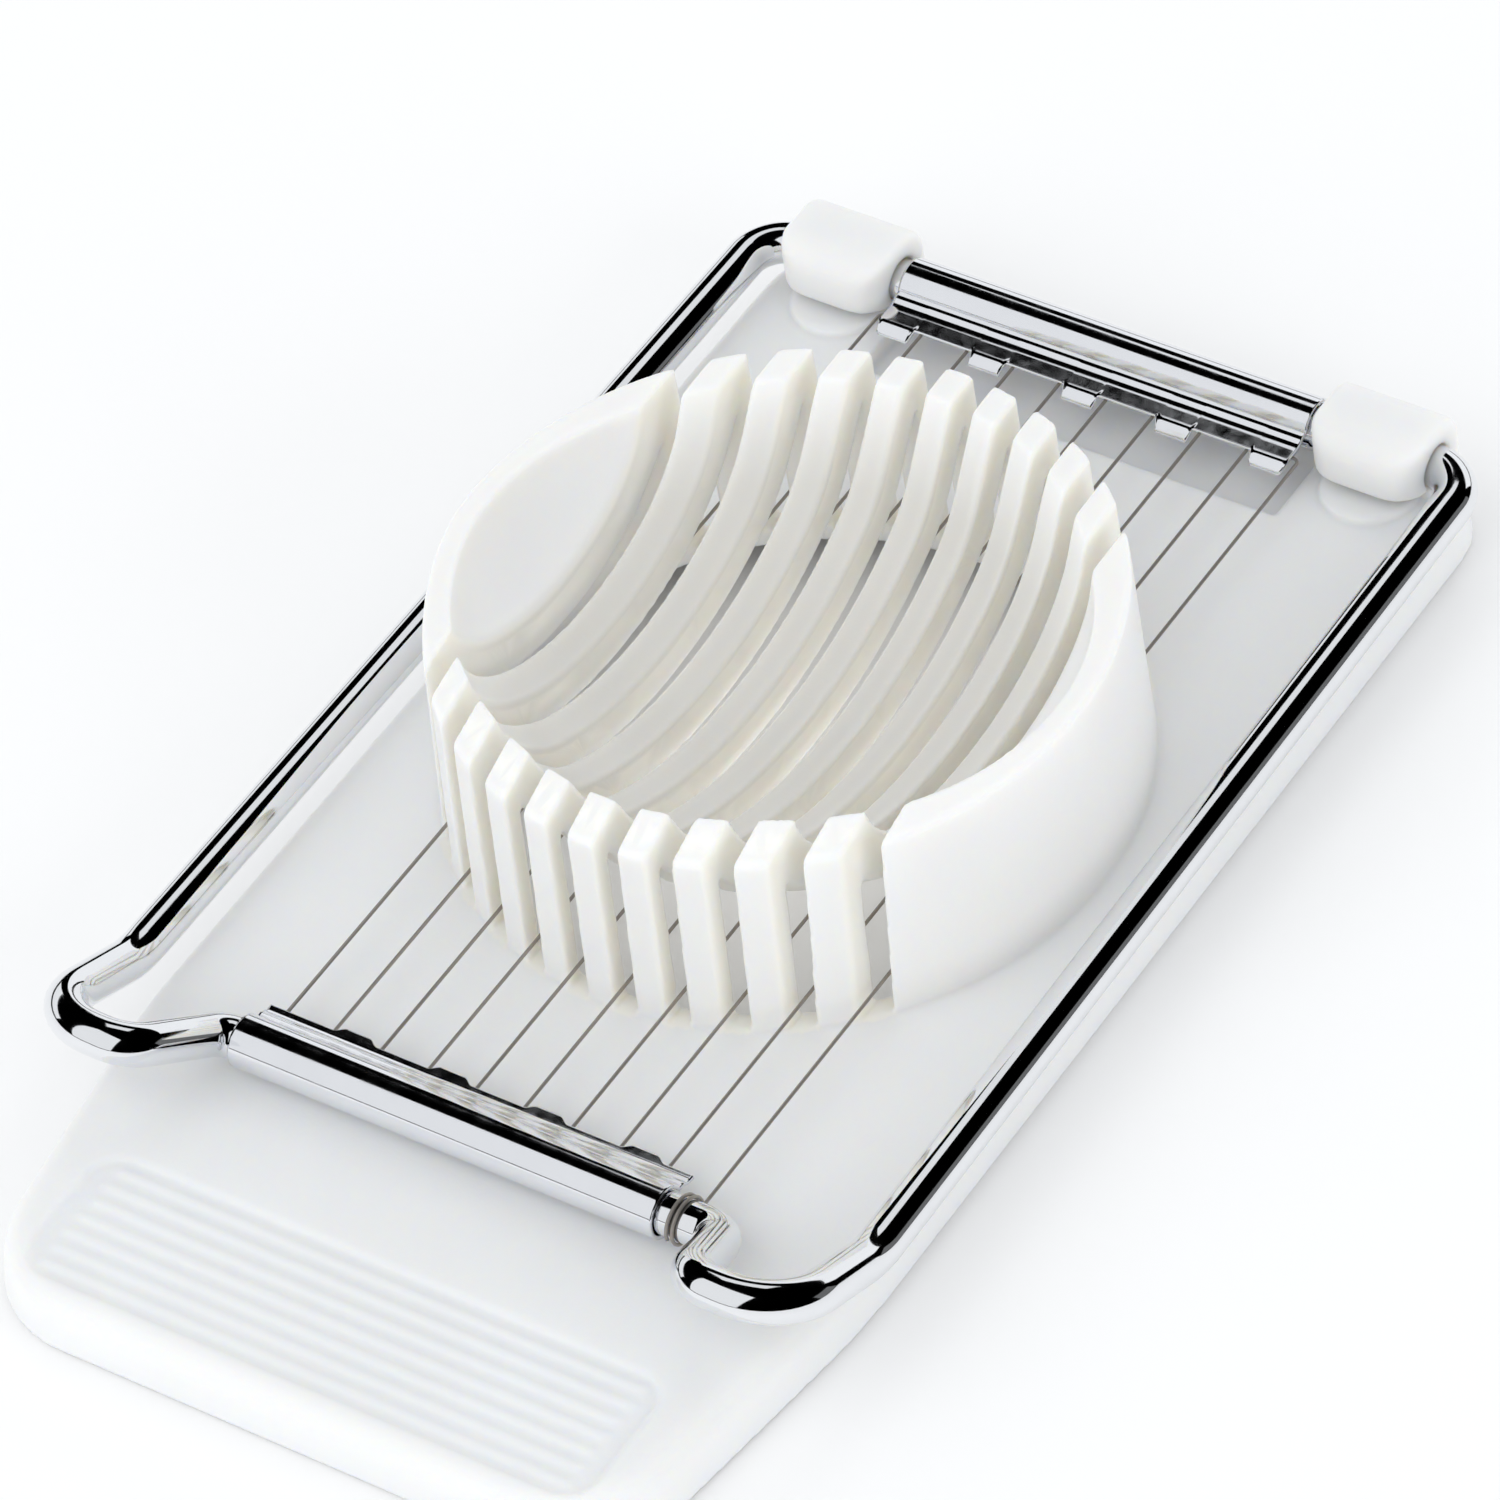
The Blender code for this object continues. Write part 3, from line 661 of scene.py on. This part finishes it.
def build_base():
    mesh = base_mesh(STEP)
    mesh = thinned(mesh, BASE_TRIANGLES / (2 * len(mesh.polygons)))
    mark_places(mesh)
    piece = link("base_shell", mesh, white_plastic())
    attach(piece, "base")
    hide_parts("base_moulding")


def build_bow():
    points, radii = rounded_bar(bow_points(), ROD_R - 0.02)
    piece = sweep("bow_bar", points, radii, 40, chrome("rod_chrome", (0.87, 0.88, 0.90), 0.04, 0.09))
    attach(piece, "wire_frame")
    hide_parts("bow_rod")


def front_flange():
    """The front flange's reach, with low humps, and its rise, which is none."""
    humps = [slot_x(n) + PITCH / 2 for n in range(1, SLOTS - 1, 2)]

    def reach(x):
        return FRONT_FLANGE + 0.2 + HUMP_REACH * max(bump(x, c, HUMP_HALF, HUMP_SOFT) for c in humps)

    return reach, lambda x, y: 0.0


def rear_flange():
    """The rear flange's reach and rise: it has tabs, bent down at their ends, that the wire turns on."""
    tabs = [slot_x(n) + PITCH / 2 for n in range(0, SLOTS - 1, 2)]

    def tab(x):
        return max(bump(x, c, TAB_HALF, TAB_SOFT) for c in tabs)

    def rise(x, y):
        return -0.9 * max(y - REAR_FLANGE - 1.55, 0) * tab(x)

    return lambda x: REAR_FLANGE + 1.5 + TAB_REACH * tab(x), rise


def build_strips():
    plating = chrome("strip_chrome", (0.86, 0.87, 0.90), 0.05, 0.12)
    front = strip_mesh("front_roll", FRONT_STRIP_X, FRONT_Y, 1, FRONT_STRIP_HALF, *front_flange())
    rear = strip_mesh("rear_roll", 0, HINGE_Y, -1, REAR_STRIP_HALF, *rear_flange())
    for mesh, node in ((front, "front_strip"), (rear, "rear_strip")):
        piece = link(mesh.name, mesh, plating)
        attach(piece, "wire_frame")
        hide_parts(node)


def wire_points():
    """The wire's path: its left end, ten strands turning under the flanges, and a wrap on the rod."""
    front, rear = FRONT_Y + FRONT_FLANGE - 0.4, HINGE_Y - REAR_FLANGE - 0.4
    low = WIRE_Z - STRAND_DROP
    last_x = slot_x(SLOTS - 1)
    corners = []
    for n in range(SLOTS):
        ends = (front, rear) if n % 2 == 0 else (rear, front)
        corners += [((slot_x(n), end, low), TURN_R) for end in ends]
    start = ((slot_x(0), front - 1.0, low), 0)
    finish = ((last_x, FRONT_Y + 3.2, low), 0)
    strands = rounded_path([start] + corners[1:-1] + [finish], 6)
    reach = ROD_R + 0.22
    wrap = []
    for i in range(WRAP_STEPS + 1):
        angle = radians(-5 + WRAP_ANGLE * i / WRAP_STEPS)
        x = last_x - 0.9 * i / WRAP_STEPS
        wrap.append(Vector((x, FRONT_Y + reach * cos(angle), WIRE_Z + reach * sin(angle))))
    return strands + wrap


def build_wire():
    steel = chrome("wire_steel", (0.36, 0.33, 0.30), 0.3, 0.42)
    steel.node_tree.nodes["Principled BSDF"].inputs["Metallic"].default_value = 0.6
    piece = sweep("cutting_wire", wire_points(), WIRE_R, 8, steel)
    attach(piece, "wire_frame")
    names = ["cutting_wire_{:02d}".format(n + 1) for n in range(SLOTS)]
    names += ["rear_wire_turn_{}".format(n + 1) for n in range(SLOTS // 2)]
    names += ["front_wire_turn_{}".format(n + 1) for n in range(SLOTS // 2 - 1)]
    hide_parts(*names, "wire_end_left", "wire_end_right")


# ---------------------------------------------------------------- stage

def area_light(name, location, target, size, power, colour=(1, 1, 1), mirrored=True):
    """A soft light facing the target. The chrome shows it only if it is mirrored."""
    light = bpy.data.lights.new(name, "AREA")
    light.shape = "RECTANGLE"
    light.size, light.size_y = size
    light.energy = power
    light.color = colour
    made = bpy.data.objects.new(name, light)
    bpy.context.scene.collection.objects.link(made)
    made.location = location
    way = Vector(target) - Vector(location)
    made.rotation_euler = way.to_track_quat("-Z", "Y").to_euler()
    made.visible_glossy = mirrored


def build_floor():
    bm = bmesh.new()
    bmesh.ops.create_grid(bm, x_segments=8, y_segments=8, size=3.0)
    mesh = bpy.data.meshes.new("floor")
    bm.to_mesh(mesh)
    bm.free()
    floor = link("floor", mesh, floor_material())
    floor.location.z = -0.0002


def build_light():
    """An even white room that the chrome doesn't show, softboxes, and a glow inside the cradle."""
    world = bpy.data.worlds.new("studio")
    world.use_nodes = True
    world.node_tree.nodes["Background"].inputs["Color"].default_value = (0.97, 0.985, 1, 1)
    world.node_tree.nodes["Background"].inputs["Strength"].default_value = 0.76
    bpy.context.scene.world = world
    world.cycles_visibility.glossy = False
    bpy.context.scene.view_settings.view_transform = "Standard"
    centre = (0, 0, 0.01)
    cool = (0.97, 0.985, 1.0)
    area_light("front_softbox", (-0.35, -1.1, 0.95), centre, (1.7, 2.2), 10.5, cool)
    area_light("rear_softbox", (-0.1, 1.42, 0.4), centre, (1.6, 0.6), 3.0, cool)
    area_light("top_softbox", (-0.30, 0.76, 1.12), centre, (0.62, 0.45), 0.75, cool)
    area_light("left_softbox", (-1.4, 0.3, 0.3), centre, (1.6, 0.35), 1.6, cool)
    area_light("right_softbox", (1.2, 0.8, 0.25), centre, (0.8, 0.42), 0.16, cool)
    area_light("right_fill", (1.4, -0.3, 0.5), centre, (1.0, 0.8), 4.5, cool, mirrored=False)
    cradle = Vector((0, CRADLE_Y, 0.3)) * MM
    area_light("cradle_glow", cradle, cradle + Vector((0, 0, 1)), (0.04, 0.04), 0.0036, mirrored=False)


def build_camera():
    """The camera stands at the front right, tilted a little, on a long lens."""
    azimuth, elevation, roll = radians(40.0), radians(45.4), radians(-10.07)
    back = Vector((sin(azimuth) * cos(elevation), -cos(azimuth) * cos(elevation), sin(elevation)))
    right = Vector((cos(azimuth), sin(azimuth), 0))
    up = back.cross(right)
    rolled_right = right * cos(roll) + up * sin(roll)
    rolled_up = up * cos(roll) - right * sin(roll)
    distance = 0.8325
    target = Vector((-2.9, 9.26, 8.3)) * MM
    camera = bpy.data.cameras.new("camera")
    camera.lens = 225.6
    camera.sensor_width = 36.0
    camera.clip_start = 0.01
    camera.clip_end = 20
    made = bpy.data.objects.new("camera", camera)
    bpy.context.scene.collection.objects.link(made)
    basis = Matrix((rolled_right, rolled_up, back)).transposed()
    made.matrix_world = Matrix.Translation(target + back * distance) @ basis.to_4x4()
    bpy.context.scene.camera = made


build_base()
build_bow()
build_strips()
build_wire()
build_floor()
build_light()
build_camera()
